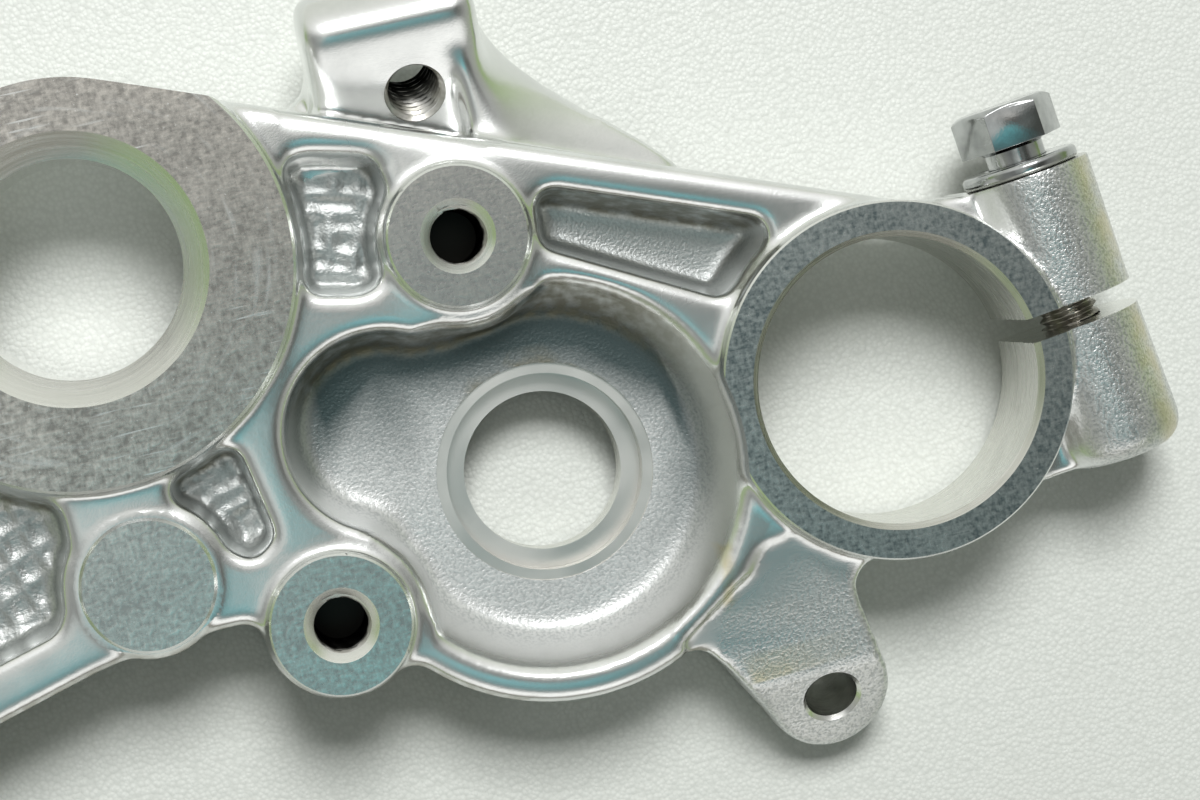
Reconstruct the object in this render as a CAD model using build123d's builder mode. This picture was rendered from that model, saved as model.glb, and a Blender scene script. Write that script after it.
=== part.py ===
import os
from math import cos, radians, sin

from build123d import *

os.makedirs("parts", exist_ok=True)

# Upper triple clamp of a motorcycle fork, lying with its ribbed underside up.
# X runs to the right fork leg, Y to the rear, Z up from the flat top deck.
# The origin is on the steering axis, in the plane of the top deck.

# Fork legs and steering stem
fork_diameter = 37.0
fork_spacing = 197.0
fork_offset = 37.5
ring_wall = 4.65
ring_height = 17.0
bore_chamfer = 0.75
through = 80.0
stem_bore_radius = 13.7
stem_chamfer_radius = 16.95
stem_chamfer_depth = 3.9
stem_cast_radius = 23.5
stem_face_radius = 27.6
stem_face_height = 16.5

# Cast shell: rim, webs and pocket floors above the deck
rim_height = 15.0
rim_rounding = 1.8
mouth_rounding = 0.8
pan_floor = 7.5
arm_floor = 6.0
small_floor = 8.0
pan_shape = (3.2, 19.0, 2.4)
wide_shape = (3.2, 11.0, 1.8)
arm_shape = (2.6, 10.0, 1.2)
small_shape = (2.2, 8.0, 1.0)
boss_clearance = 2.2
arm_boss_clearance = 1.3
ring_clearance = 1.1
stem_clearance = 1.0

# Ignition switch pan, with its two bolt bosses at one distance from the keyhole
switch_x = 52.2
switch_y = -38.9
pan_radius = 25.0
pan_core_radius = 23.4
flare_floor_radius = 20.2
flare_height = 14.6
flare_boss_clearance = 3.4
pan_lobe_radius = 13.0
pan_lobe_x = 33.0
pan_lobe_y = -28.5
lobe_outer_radius = 29.2
keyhole_radius = 10.35
switch_seat_radius = 12.8
switch_seat_height = 4.4
switch_face_radius = 14.15
switch_face_cut = 0.35

# Bosses
boss_radius = 9.0
boss_height = 16.5
boss_draft = 4.0
rear_boss_x = 47.4
rear_boss_y = -6.7
front_boss_x = 22.0
front_boss_y = -50.7
blank_boss_radius = 8.35
blank_boss_height = 15.5
blank_boss_y = -40.2
blank_boss_rim = 1.2
front_boss_rim = 0.8
tapped_radius = 3.4
tapped_depth = 13.0
tapped_chamfer = 1.35

# Pinch ears, slit and bolt
slit_angle = 6.5
slit_width = 3.2
ear_offset = 26.8
ear_radius = 9.0
ear_height = 7.7
ear_head_end = 19.0
ear_tail_end = 20.8
ear_tail_rounding = 3.6
ear_flare = 0.8
ear_web_height = 11.5
bolt_radius = 4.0
bolt_clearance = 0.45
thread_clearance = 0.05
bolt_length = 35.0
bolt_hole_depth = 17.5
head_width = 12.0
head_height = 5.5
head_gap = 2.4
washer_radius = 7.8
washer_thickness = 1.8
washer_clearance = 0.3
washer_rounding = 0.5
head_turn = -7.0
head_bevel = 60.0
head_top_radius = 5.7
bolt_point = 0.8

# Front lugs and rear riser lugs: their holes lean back together
lean = 29.0
lug_x = 82.1
lug_y = -75.7
lug_radius = 8.1
lug_height = 12.0
lug_crease_y = -72.4
lug_hole_radius = 3.5
lug_hole_y = -76.6
lug_hole_height = 9.7
riser_left = 34.0
riser_right = 57.0
riser_hole_x = 47.0
riser_hole_y = 12.4
riser_hole_height = 8.0
riser_thickness = 12.0
riser_seat_half = 9.0
riser_crest_y = 22.0
riser_crest_height = 12.4
riser_back_y = 28.2
riser_back_height = 7.5
riser_rounding = 3.5
riser_edge = 2.2
gusset_height = 3.0
lug_corner = 3.5
lug_field = 36.0
lug_pad = [(63.7, -63.9), (80.0, -53.2), (92, -54), (92, -62), (75, -70), (66, -70)]
lug_sides = [
    (90.1, -75.7),
    (87.7, -63),
    (87.7, -57),
    (70, -57),
    (65.5, -64.2),
    (69.5, -69.6),
    (74.9, -79),
]
gusset_inner = [(29.0, 14.0), (33.0, 16.0), (34.0, 21.4)]
gusset_outer = [(57.0, 20.0), (63.6, 8.2), (79.3, -4.4)]
gusset_root = [(79.3, -4.4), (70, -8), (29, 4), (29.0, 14.0)]

# Flank from the riser down to the gusset, at stations along Y: inner edge and its height, outer
# edge and its height
riser_flank = [
    (21.5, 53.8, 11.2, 57.2, 3.0),
    (15.0, 54.6, 9.6, 60.0, 3.0),
    (6.0, 56.6, 9.4, 68.6, 3.2),
    (-4.0, 57.6, 9.2, 79.0, 3.6),
]

# Mouths of the pockets, before their corners are rounded
pan_mouth = [(40, -17), (55, -17), (55, -50), (36, -50), (26, -38)]
small_mouth = [(5, -26), (14.4, -24.5), (16.8, -38.2), (13.2, -40.6), (4.2, -33)]
wide_mouth = [
    (-52, -17),
    (-36, -15.5),
    (-8, -27),
    (-8, -36),
    (-12, -43.5),
    (-22, -46),
    (-34, -53),
    (-52, -60),
]
arm_mouth = [(56.5, -1.7), (89, -14.2), (80.5, -23.2), (55, -9.3)]
stem_mouth = [(24, 8), (31, 7.6), (39.5, 5.5), (42, -9), (34, -11.2), (24, -9)]

# Web of the ear, outward from the fork's axis and along the bolt
ear_web = [(27, -20), (18.5, -20), (12, -19.8), (8, 21.7), (18.2, 19.0), (27, 19.0)]

# Front edge between the lobes, and the radii of the corners where it meets them
front_edge = [
    (switch_x, switch_y),
    (front_boss_x + 12, front_boss_y - 10.5),
    (front_boss_x, blank_boss_y - 7.8),
    (0, blank_boss_y - 7.8),
    (-8.6, blank_boss_y - 9.2),
    (-30.0, blank_boss_y - 14.7),
    (-switch_x, switch_y),
    (0, 0),
]
outline_corners = [
    (5.5, -48.0, 2.0),
    (12.6, -48.0, 2.5),
    (29.4, -57.1, 3.0),
    (-27.2, -54.2, 10.0),
    (77.1, -54.2, 3.0),
    (-77.1, -54.2, 3.0),
]

# Corners of the slit, outward from the fork's axis and along the bolt
slit_corners = [
    (fork_diameter / 4, slit_width / 2),
    (ear_offset + 2 * ear_radius, slit_width / 2),
    (ear_offset + 2 * ear_radius, -slit_width / 2),
    (fork_diameter / 4, -slit_width / 2),
]

# Switch seat: radius and floor of each step
switch_steps = [
    (switch_face_radius, pan_floor - switch_face_cut),
    (switch_seat_radius, switch_seat_height),
    (keyhole_radius, 0),
]

fork_radius = fork_diameter / 2
ring_radius = fork_radius + ring_wall
fork_x = fork_spacing / 2
fork_y = -fork_offset
lean_back = sin(radians(lean))
lean_down = cos(radians(lean))
sides = (1, -1)


def ear_plane(side, along):
    """Plane across the pinch bolt, its normal pointing from the bolt's tip to its head."""
    across = radians(slit_angle)
    origin = (
        side * (fork_x + ear_offset * cos(across) - along * sin(across)),
        fork_y + ear_offset * sin(across) + along * cos(across),
        ear_height,
    )
    leftward = (-cos(across), -side * sin(across), 0)
    headward = (-side * sin(across), cos(across), 0)
    return Plane(origin, x_dir=leftward, z_dir=headward)


def lean_plane(x, y, z):
    """Plane across a leaning hole, its normal pointing up out of the underside."""
    return Plane((x, y, z), x_dir=(1, 0, 0), z_dir=(0, -lean_back, lean_down))


def circle_at(x, y, radius, mode=Mode.ADD):
    """Circle placed in the current sketch."""
    with Locations((x, y)):
        Circle(radius, mode=mode)


def mirrored(side, points):
    """Points of the right half, or their mirror images for the left half."""
    return [(side * x, *rest) for x, *rest in points]


def pocket_cutter(circles, corners, islands, floor, rounding, draft, floor_rounding):
    """Tapered pocket: circles and a polygon less round islands, rounded at corners and floor."""
    with BuildPart() as cutter:
        with BuildSketch(Plane.XY.offset(rim_height)) as mouth:
            for x, y, radius in circles:
                circle_at(x, y, radius)
            with BuildLine():
                Polyline(corners, close=True)
            make_face()
            for x, y, radius in islands:
                circle_at(x, y, radius, Mode.SUBTRACT)
            for step in (-rounding, 2 * rounding, -rounding):
                offset(amount=step, mode=Mode.REPLACE)
        extrude(amount=floor - rim_height, taper=draft)
        fillet(cutter.faces().sort_by(Axis.Z)[0].edges(), floor_rounding)
    return cutter.part


def clamp_point(side, outward, along):
    """Point in plan, measured from the fork's axis along the slit and along the pinch bolt."""
    across = radians(slit_angle)
    x = fork_x + outward * cos(across) - along * sin(across)
    y = fork_y + outward * sin(across) + along * cos(across)
    return (side * x, y)


def pinch_ear(side):
    """Round barrel on the bolt's axis, flat on the deck side, with a lower web to the ring."""
    with BuildPart() as ear:
        with BuildSketch(ear_plane(side, 0)):
            Circle(ear_radius)
        with BuildSketch(ear_plane(side, -ear_tail_end)):
            circle_at(-side * ear_flare, 0, ear_radius)
        loft()
        with BuildSketch(ear_plane(side, 0)):
            Circle(ear_radius)
        extrude(amount=ear_head_end)
        fillet(ear.edges().filter_by(GeomType.CIRCLE).sort_by(Axis.Y)[0], ear_tail_rounding)
        split(bisect_by=Plane.XY)
        with BuildSketch():
            with BuildLine():
                Polyline([clamp_point(side, *point) for point in ear_web], close=True)
            make_face()
        extrude(amount=ear_web_height)
    return ear.part


def front_lug(side):
    """Flat lug in the corner of lobe and ring, its round end sloped for the leaning hole."""
    with BuildPart() as lug:
        with BuildSketch() as plan:
            circle_at(side * switch_x, switch_y, lobe_outer_radius)
            circle_at(side * fork_x, fork_y, ring_radius)
            circle_at(side * lug_x, lug_y, lug_radius)
            with BuildLine():
                Polyline(mirrored(side, lug_sides), close=True)
            make_face()
            for step in (lug_corner, -lug_corner):
                offset(amount=step, mode=Mode.REPLACE)
            with Locations((side * lug_x, lug_y + lug_radius)):
                Rectangle(lug_field, lug_field, mode=Mode.INTERSECT)
            circle_at(side * switch_x, switch_y, pan_radius + rim_rounding, Mode.SUBTRACT)
        extrude(amount=lug_height)
        fall = lug_radius + lug_crease_y - lug_y
        with BuildSketch(Plane.YZ.offset(side * lug_x)):
            with BuildLine():
                Polyline(
                    (lug_crease_y, lug_height),
                    (lug_crease_y - 2 * fall, lug_height),
                    (lug_crease_y - 2 * fall, lug_height - 2 * fall * lean_back / lean_down),
                    close=True,
                )
            make_face()
        extrude(amount=2 * lug_radius, both=True, mode=Mode.SUBTRACT)
    return lug.part


def riser_lug(side):
    """Rounded lug behind the arm, its seat square to the leaning hole, with a flared gusset."""
    seat_y = riser_hole_y + riser_thickness * lean_back
    seat_z = riser_hole_height - riser_thickness * lean_down
    half_y = riser_seat_half * lean_down
    half_z = riser_seat_half * lean_back
    with BuildPart() as riser:
        with BuildSketch(Plane.YZ.offset(min(side * riser_left, side * riser_right))) as section:
            with BuildLine():
                Polyline(
                    (seat_y - half_y, seat_z - half_z),
                    (seat_y + half_y, seat_z + half_z),
                    (riser_back_y, riser_back_height),
                    (riser_crest_y, riser_crest_height),
                    (riser_hole_y - half_y, riser_hole_height - half_z),
                    (seat_y - 2 * half_y, 0),
                    close=True,
                )
            make_face()
            rear = section.vertices().sort_by(Axis.X)[-3:]
            fillet(rear, riser_rounding)
        extrude(amount=riser_right - riser_left)
        ends = riser.faces().filter_by(Axis.X)
        fillet(ends.edges().filter_by(lambda edge: edge.center().Y > riser_hole_y), riser_edge)
        with BuildSketch():
            with BuildLine():
                inner = ThreePointArc(mirrored(side, gusset_inner))
                outer = ThreePointArc(mirrored(side, gusset_outer))
                Line(inner @ 1, outer @ 0)
                Polyline(mirrored(side, gusset_root))
            make_face()
        extrude(amount=gusset_height)
        root = riser_right - 2 * riser_edge
        for y, inner_x, inner_z, outer_x, outer_z in riser_flank:
            with BuildSketch(Plane((0, y, 0), x_dir=(1, 0, 0), z_dir=(0, -1, 0))):
                with BuildLine():
                    Polyline(
                        (side * root, 0),
                        (side * outer_x, 0),
                        (side * outer_x, outer_z),
                        (side * inner_x, inner_z),
                        (side * root, inner_z),
                        close=True,
                    )
                make_face()
        loft()
    return riser.part


# Deck and rim: arms tangent to the stem boss and the fork rings, a round lobe under each
# arm, and a front edge that runs from lobe to lobe past the bosses
with BuildPart() as shell:
    with BuildSketch() as outline:
        for side in sides:
            with BuildSketch() as arm:
                with BuildLine():
                    CenterArc((0, 0), stem_cast_radius, 0, 360)
                    CenterArc((side * fork_x, fork_y), ring_radius, 0, 360)
                make_hull()
            circle_at(side * switch_x, switch_y, lobe_outer_radius)
        with BuildLine():
            Polyline(front_edge, close=True)
        make_face()
        circle_at(0, blank_boss_y, blank_boss_radius + blank_boss_rim)
        circle_at(front_boss_x, front_boss_y, boss_radius + front_boss_rim)
        for x, y, radius in outline_corners:
            fillet(outline.vertices().sort_by_distance((x, y, 0))[0], radius)
    extrude(amount=rim_height)
    fillet(shell.faces().sort_by(Axis.Z)[-1].outer_wire().edges(), rim_rounding)

bolt_bosses = [
    (rear_boss_x, rear_boss_y),
    (-rear_boss_x, rear_boss_y),
    (front_boss_x, front_boss_y),
]
stem_island = (0, 0, stem_face_radius + stem_clearance)
blank_island = (0, blank_boss_y, blank_boss_radius + boss_clearance)
front_island = (front_boss_x, front_boss_y, boss_radius + boss_clearance)


# Pockets: the switch pan, the small pocket before the stem, the wide plain pocket of the left
# half, and on both sides the pocket in the arm and the one between stem and rear boss
cutters = [
    pocket_cutter(
        [(switch_x, switch_y, pan_core_radius), (pan_lobe_x, pan_lobe_y, pan_lobe_radius)],
        pan_mouth,
        [
            (rear_boss_x, rear_boss_y, boss_radius + boss_clearance),
            front_island,
        ],
        pan_floor,
        *pan_shape,
    ),
    pocket_cutter(
        [],
        small_mouth,
        [stem_island, blank_island, front_island],
        small_floor,
        *small_shape,
    ),
    pocket_cutter(
        [(-switch_x, switch_y, pan_radius)],
        wide_mouth,
        [
            (-rear_boss_x, rear_boss_y, boss_radius + boss_clearance),
            stem_island,
            blank_island,
            (-fork_x, fork_y, ring_radius + ring_clearance),
        ],
        pan_floor,
        *wide_shape,
    ),
]
for side in sides:
    cutters.append(
        pocket_cutter(
            [],
            mirrored(side, arm_mouth),
            mirrored(
                side,
                [
                    (rear_boss_x, rear_boss_y, boss_radius + arm_boss_clearance),
                    (fork_x, fork_y, ring_radius + ring_clearance),
                ],
            ),
            arm_floor,
            *arm_shape,
        )
    )
    cutters.append(
        pocket_cutter(
            [],
            mirrored(side, stem_mouth),
            mirrored(side, [stem_island, (rear_boss_x, rear_boss_y, boss_radius + arm_boss_clearance)]),
            small_floor,
            *small_shape,
        )
    )

# Flared wall of the pan, which runs up past the rim into the ring's side, clear of the bosses
with BuildPart() as pan_flare:
    with Locations((switch_x, switch_y, (pan_floor + flare_height) / 2)):
        Cone(flare_floor_radius, pan_radius, flare_height - pan_floor)
    with Locations((switch_x, switch_y, (flare_height + ring_height) / 2)):
        Cylinder(pan_radius, ring_height - flare_height)
    with BuildSketch(Plane.XY.offset(pan_floor)):
        for x, y in ((rear_boss_x, rear_boss_y), (front_boss_x, front_boss_y)):
            circle_at(x, y, boss_radius + flare_boss_clearance)
    extrude(amount=ring_height, mode=Mode.SUBTRACT)

ears = [pinch_ear(side) for side in sides]
lugs = [front_lug(side) for side in sides]
risers = [riser_lug(side) for side in sides]

# Cast body: pockets sunk into the shell, then stem boss, fork rings, bosses, ears and lugs
with BuildPart() as clamp_body:
    add(shell.part)
    for cutter in cutters:
        add(cutter, mode=Mode.SUBTRACT)
    rim_face = clamp_body.faces().filter_by(Axis.Z).sort_by(Axis.Z)[-1]
    for wire in rim_face.inner_wires():
        fillet(wire.edges(), mouth_rounding)

    # Rim lowered to the front lugs in the corner beside each ring
    with BuildSketch(Plane.XY.offset(lug_height)):
        for side in sides:
            with BuildLine():
                Polyline(mirrored(side, lug_pad), close=True)
            make_face()
    extrude(amount=rim_height, mode=Mode.SUBTRACT)

    # Stem boss, its machined face cut off where the rear edges pass
    with BuildSketch():
        Circle(stem_face_radius)
        add(outline.sketch, mode=Mode.INTERSECT)
    extrude(amount=stem_face_height)

    # Bolt bosses of the switch, the plain rear boss of the left half and the blank boss
    with BuildSketch(Plane.XY.offset(boss_height)):
        with Locations(*bolt_bosses):
            Circle(boss_radius)
    extrude(amount=-boss_height, taper=-boss_draft)
    with BuildSketch(Plane.XY.offset(blank_boss_height)):
        circle_at(0, blank_boss_y, blank_boss_radius)
    extrude(amount=-blank_boss_height, taper=-boss_draft)

    # Fork rings, pinch ears and lugs
    with BuildSketch():
        for side in sides:
            circle_at(side * fork_x, fork_y, ring_radius)
    extrude(amount=ring_height)
    add(pan_flare.part, mode=Mode.SUBTRACT)
    for piece in ears + lugs + risers:
        add(piece)

    # Stem bore with its deep lead-in, and the fork bores
    with Locations((0, 0, stem_face_height)):
        Cylinder(stem_bore_radius, through, mode=Mode.SUBTRACT)
    with Locations((0, 0, stem_face_height - stem_chamfer_depth / 2)):
        Cone(stem_bore_radius, stem_chamfer_radius, stem_chamfer_depth, mode=Mode.SUBTRACT)
    for side in sides:
        with Locations((side * fork_x, fork_y, 0)):
            Cylinder(fork_radius, through, mode=Mode.SUBTRACT)
        with Locations((side * fork_x, fork_y, ring_height - bore_chamfer / 2)):
            Cone(fork_radius, fork_radius + bore_chamfer, bore_chamfer, mode=Mode.SUBTRACT)
        with Locations((side * fork_x, fork_y, bore_chamfer / 2)):
            Cone(fork_radius + bore_chamfer, fork_radius, bore_chamfer, mode=Mode.SUBTRACT)

    # Switch seat: a spot face on the pan's floor, a counterbore and the keyhole
    for radius, bottom in switch_steps:
        with BuildSketch(Plane.XY.offset(bottom)):
            circle_at(switch_x, switch_y, radius)
        extrude(amount=rim_height - bottom, mode=Mode.SUBTRACT)

    # Blind tapped holes in the bolt bosses
    for x, y in bolt_bosses:
        with Locations((x, y, boss_height - tapped_depth / 2)):
            Cylinder(tapped_radius, tapped_depth, mode=Mode.SUBTRACT)
        with Locations((x, y, boss_height - tapped_chamfer / 2)):
            Cone(tapped_radius, tapped_radius + tapped_chamfer, tapped_chamfer, mode=Mode.SUBTRACT)

    for side in sides:
        # Slit through ring and ear, clearance hole above it and tapped hole below it
        with BuildSketch():
            with BuildLine():
                Polyline([clamp_point(side, *point) for point in slit_corners], close=True)
            make_face()
        extrude(amount=through / 2, both=True, mode=Mode.SUBTRACT)
        with BuildSketch(ear_plane(side, 0)):
            Circle(bolt_radius + bolt_clearance)
        extrude(amount=through, mode=Mode.SUBTRACT)
        with BuildSketch(ear_plane(side, 0)):
            Circle(bolt_radius + thread_clearance)
        extrude(amount=-bolt_hole_depth, mode=Mode.SUBTRACT)

        # Leaning holes of the front lug and the riser lug
        with BuildSketch(lean_plane(side * lug_x, lug_hole_y, lug_hole_height)):
            Circle(lug_hole_radius)
        extrude(amount=-through, mode=Mode.SUBTRACT)
        with BuildSketch(lean_plane(side * riser_hole_x, riser_hole_y, riser_hole_height)):
            Circle(tapped_radius)
        extrude(amount=-through, mode=Mode.SUBTRACT)

clamp_body.part.label = "clamp_body"
export_step(clamp_body.part, "parts/clamp_body.step")

# Pinch bolts, backed off a few turns, and the washers on the ears' seats
for side, hand in ((1, "right"), (-1, "left")):
    under_head = ear_head_end + washer_thickness + head_gap
    with BuildPart() as bolt:
        with BuildSketch(ear_plane(side, under_head)):
            RegularPolygon(head_width / 2, 6, major_radius=False, rotation=side * head_turn)
        extrude(amount=head_height)
        with BuildSketch(ear_plane(side, under_head + head_height)):
            Circle(head_top_radius)
        extrude(amount=-head_height, taper=-head_bevel, mode=Mode.INTERSECT)
        with BuildSketch(ear_plane(side, under_head)):
            Circle(bolt_radius)
        extrude(amount=-bolt_length)
        chamfer(bolt.edges().filter_by(GeomType.CIRCLE).sort_by(Axis.Y)[0], bolt_point)
    bolt.part.label = f"pinch_bolt_{hand}"
    export_step(bolt.part, f"parts/pinch_bolt_{hand}.step")

    with BuildPart() as washer:
        with BuildSketch(ear_plane(side, ear_head_end)):
            Circle(washer_radius)
            Circle(bolt_radius + washer_clearance, mode=Mode.SUBTRACT)
        extrude(amount=washer_thickness)
        rims = washer.edges().filter_by(GeomType.CIRCLE).sort_by(SortBy.RADIUS)
        fillet(rims[-2:], washer_rounding)
    washer.part.label = f"pinch_washer_{hand}"
    export_step(washer.part, f"parts/pinch_washer_{hand}.step")
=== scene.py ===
from math import cos, pi, radians, sin, tan

import bmesh
import bpy
import numpy as np
from mathutils import Matrix, Vector, noise


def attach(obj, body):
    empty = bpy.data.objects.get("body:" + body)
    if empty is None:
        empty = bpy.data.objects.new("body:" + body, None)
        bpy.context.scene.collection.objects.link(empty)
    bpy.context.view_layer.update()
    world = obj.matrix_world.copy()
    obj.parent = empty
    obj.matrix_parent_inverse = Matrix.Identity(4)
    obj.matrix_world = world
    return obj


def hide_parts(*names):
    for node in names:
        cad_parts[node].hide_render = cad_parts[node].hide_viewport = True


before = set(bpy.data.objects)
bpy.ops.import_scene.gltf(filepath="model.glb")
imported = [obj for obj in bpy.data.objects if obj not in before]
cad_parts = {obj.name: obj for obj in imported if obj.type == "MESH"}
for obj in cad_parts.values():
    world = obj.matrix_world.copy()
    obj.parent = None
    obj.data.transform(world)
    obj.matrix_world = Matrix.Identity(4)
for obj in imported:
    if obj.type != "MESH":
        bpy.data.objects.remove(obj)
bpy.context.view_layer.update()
mm = 0.001  # everything below is written in millimetres and scaled on the way in
scene = bpy.context.scene
print("frame loaded:", ", ".join(sorted(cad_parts)))


# mesh helpers

def linkMesh(name, bm):
    mesh = bpy.data.meshes.new(name)
    bm.to_mesh(mesh)
    bm.free()
    piece = bpy.data.objects.new(name, mesh)
    scene.collection.objects.link(piece)
    return piece


def dropPiece(piece):
    mesh = piece.data
    bpy.data.objects.remove(piece)
    if mesh.users == 0:
        bpy.data.meshes.remove(mesh)


def bakeModifiers(piece):
    graph = bpy.context.evaluated_depsgraph_get()
    graph.update()
    solid = bpy.data.meshes.new_from_object(piece.evaluated_get(graph))
    solid.name = piece.name
    old = piece.data
    piece.modifiers.clear()
    piece.data = solid
    if old.users == 0:
        bpy.data.meshes.remove(old)
    return piece


def addLathe(bm, profile, place, segments=64, closed=False):
    # body turned from (radius, height) pairs, poles at radius 0, or a closed ring
    turn = [2 * pi * k / segments for k in range(segments)]
    rings = []
    for radius, height in profile:
        if radius:
            ring = [Vector((radius * cos(t), radius * sin(t), height)) * mm for t in turn]
        else:
            ring = [Vector((0, 0, height * mm))]
        rings.append([bm.verts.new(place @ spot) for spot in ring])
    for low, high in zip(rings, rings[1:] + rings[:closed]):
        for k in range(segments):
            n = (k + 1) % segments
            if len(low) == 1:
                bm.faces.new((low[0], high[n], high[k]))
            elif len(high) == 1:
                bm.faces.new((low[k], low[n], high[0]))
            else:
                bm.faces.new((low[k], low[n], high[n], high[k]))


def addBox(bm, low, high, place):
    corners = [
        bm.verts.new(place @ (Vector((x, y, z)) * mm))
        for z in (low[2], high[2])
        for y in (low[1], high[1])
        for x in (low[0], high[0])
    ]
    for quad in ((0, 2, 3, 1), (4, 5, 7, 6), (0, 1, 5, 4), (2, 6, 7, 3), (0, 4, 6, 2), (1, 3, 7, 5)):
        bm.faces.new([corners[k] for k in quad])


def shapeFrom(name, build, *shape):
    bm = bmesh.new()
    build(bm, *shape)
    bmesh.ops.recalc_face_normals(bm, faces=bm.faces)
    return linkMesh(name, bm)


def paint(mesh, finishes):
    mesh.materials.clear()
    for finish in finishes:
        mesh.materials.append(finish)


def smooth(mesh, angle):
    mesh.shade_smooth()
    mesh.set_sharp_from_angle(angle=radians(angle))


def combine(piece, tools, operation="DIFFERENCE"):
    for tool in tools:
        step = piece.modifiers.new(tool.name, "BOOLEAN")
        step.operation = operation
        step.solver = "MANIFOLD"
        step.object = tool
    bakeModifiers(piece)
    for tool in tools:
        dropPiece(tool)


# node helpers, used by materials and geometry trees alike

def addNode(tree, kind, inputs=None, **settings):
    node = tree.nodes.new(kind)
    for key, value in settings.items():
        setattr(node, key, value)
    for key, value in (inputs or {}).items():
        socket = node.inputs[key]
        if isinstance(value, bpy.types.NodeSocket):
            tree.links.new(value, socket)
        else:
            socket.default_value = value
    return node


def made(tree, kind, inputs=None, **settings):
    return addNode(tree, kind, inputs, **settings).outputs[0]


def calc(tree, operation, *values, clamp=False):
    return made(tree, "ShaderNodeMath", dict(enumerate(values)), operation=operation, use_clamp=clamp)


def times(tree, first, second):
    return calc(tree, "MULTIPLY", first, second)


def vector(tree, **parts):
    return made(tree, "ShaderNodeCombineXYZ", parts)


def split(tree, value):
    return addNode(tree, "ShaderNodeSeparateXYZ", {"Vector": value}).outputs


def growingTree(name, inputs):
    tree = bpy.data.node_groups.new(name, "GeometryNodeTree")
    tree.interface.new_socket("Geometry", in_out="OUTPUT", socket_type="NodeSocketGeometry")
    keys = {}
    for kind, labels in inputs.items():
        for label in labels:
            socket = tree.interface.new_socket(label, in_out="INPUT", socket_type="NodeSocket" + kind)
            keys[label] = socket.identifier
    return tree, tree.nodes.new("NodeGroupInput").outputs, keys


def closeTree(tree, geometry, material):
    real = made(tree, "GeometryNodeRealizeInstances", {"Geometry": geometry})
    dressed = made(tree, "GeometryNodeSetMaterial", {"Geometry": real, "Material": material})
    addNode(tree, "NodeGroupOutput", {0: dressed})


def growPiece(name, tree, keys, values):
    piece = bpy.data.objects.new(name, bpy.data.meshes.new(name))
    scene.collection.objects.link(piece)
    grow = piece.modifiers.new("grow", "NODES")
    grow.node_group = tree
    for label, value in values.items():
        grow[keys[label]] = value
    return bakeModifiers(piece)


# where the machined features are, in the clamp's own frame

layout = {
    "forkX": 98.5,
    "forkY": -37.5,
    "slitAngle": 6.5,
    "earOffset": 26.8,
    "earHeight": 7.7,
    "seat": 19.0,  # washer seat along the bolt
    "lean": 29.0,
    "bosses": ((47.4, -6.7), (-47.4, -6.7), (22.0, -50.7)),
    "blankBoss": (0.0, -40.2),
    "keyhole": (52.2, -38.9),
    "lugHole": (82.1, -76.6, 9.7),
    "riserHole": (47.0, 12.4, 7.6),
}
sides = (1, -1)


def framed(origin, *axes):
    place = Matrix(axes).transposed().to_4x4()
    place.translation = origin
    return place


def upright(x, y):
    return Matrix.Translation((x * mm, y * mm, 0))


def forkFrame(side):
    return upright(side * layout["forkX"], layout["forkY"])


def earFrame(side):
    # local x outward from the fork, y down the bolt's height, z from the bolt's tip to its head
    a = radians(layout["slitAngle"])
    out = Vector((side * cos(a), sin(a), 0))
    headward = Vector((-side * sin(a), cos(a), 0))
    centre = Vector((side * layout["forkX"], layout["forkY"], layout["earHeight"]))
    return framed((centre + out * layout["earOffset"]) * mm, out, headward.cross(out), headward)


def leanFrame(side, key):
    # local z up out of the underside along a leaning hole
    x, y, z = layout[key]
    a = radians(layout["lean"])
    up = Vector((0, -sin(a), cos(a)))
    right = Vector((1, 0, 0))
    return framed(Vector((side * x, y, z)) * mm, right, up.cross(right), up)


# cast skin: the CAD body with its machining filled in, melted to soft cast edges

casting = {
    "raised": ((16.5, 2.0), (17.0, 2.0), (15.5, 2.0)),  # face height and stock left on it
    "earStock": ((-1.6, 3.5), (19.0, 0.8)),  # slit wall closed, washer seat raised
    "plugs": {  # radius, low and high end of what fills each hole
        "stem": (17.6, 0, 18.5),
        "keyhole": (14.6, 0, 7.5),
        "boss": (5.2, 2, 18.5),
        "fork": (19.8, 0, 19.0),
        "bolt": (5.2, -17.8, 19.6),
        "lugHole": (4.2, -9.0, 0),
        "riserHole": (4.2, -11.6, 0),
    },
    "voxel": 0.42,
    "meltFactor": 0.5,
    "meltSteps": {"all": 6, "open": 18, "pan": 40, "risers": 60},  # smoothing passes, by zone
    "panWall": (15.5, 25.2, 7.0, 14.9),  # reach from the keyhole and heights
    "riserZone": (3.5, 29, 70),  # behind this y, between these x
    "crease": ((63.7, -63.9), (80.0, -53.2), 2.2),  # ends of the step down to the lug, and its reach
    "bridge": (0.4, 0.9, 0.05, 2.5),  # bar under the crease: short of its ends, half width, top and foot
    "pad": (12.0, -72.4, 0.14),  # lug pad's height at its front, that front's y, and its rise to the rim
    "faces": 165000,
}


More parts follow.
